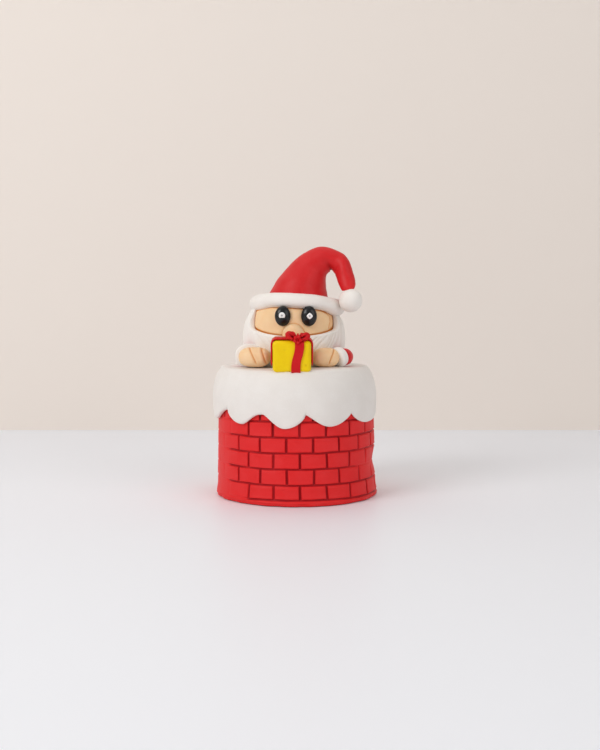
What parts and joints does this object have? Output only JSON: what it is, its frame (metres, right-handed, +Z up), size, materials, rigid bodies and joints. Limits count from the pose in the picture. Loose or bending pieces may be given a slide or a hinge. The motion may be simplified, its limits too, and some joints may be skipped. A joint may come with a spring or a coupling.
{
  "type": "christmas cake",
  "caption": "Tall round brick-patterned cake under a scalloped snow cap, with a bearded figure in a bent hat resting its hands on top beside a ribboned present.",
  "frame": {"origin": "centre of the cake's flat base, at the level of the surface it stands on", "axes": "+Z up through the cake; the figure and the present face -Y; +X to the right as seen from the front"},
  "size_m": [0.1446, 0.1447, 0.2177],
  "materials": {
    "brick_red": "matt rolled sugar paste, bricks pressed in",
    "snow_white": "matt rolled sugar paste, smoothed",
    "beard_white": "matt sugar paste, combed into strands",
    "trim_white": "matt sugar paste, rolled by hand",
    "skin": "satin modelling paste",
    "hat_red": "satin sugar paste, modelled by hand",
    "eye_black": "glossy black sugar paste",
    "gift_yellow": "satin sugar paste",
    "ribbon_red": "satin sugar paste, rolled thin"
  },
  "bodies": {
    "root": {"brick_wall": "brick_red", "snow_cap": "snow_white", "head": "skin", "nose": "skin", "eye_left": "eye_black", "eye_right": "eye_black", "eye_glint_left": "snow_white", "eye_glint_right": "snow_white", "beard": "beard_white", "hat_brim": "trim_white", "hat": "hat_red", "pompom": "trim_white", "hand_left": "skin", "hand_right": "skin", "cuff_left": "trim_white", "cuff_right": "trim_white", "sleeve_left": "hat_red", "sleeve_right": "hat_red", "gift_box": "gift_yellow", "gift_band": "ribbon_red", "gift_ribbon": "ribbon_red", "bow_loop_left": "ribbon_red", "bow_loop_right": "ribbon_red", "bow_knot": "ribbon_red"}
  },
  "joints": []
}
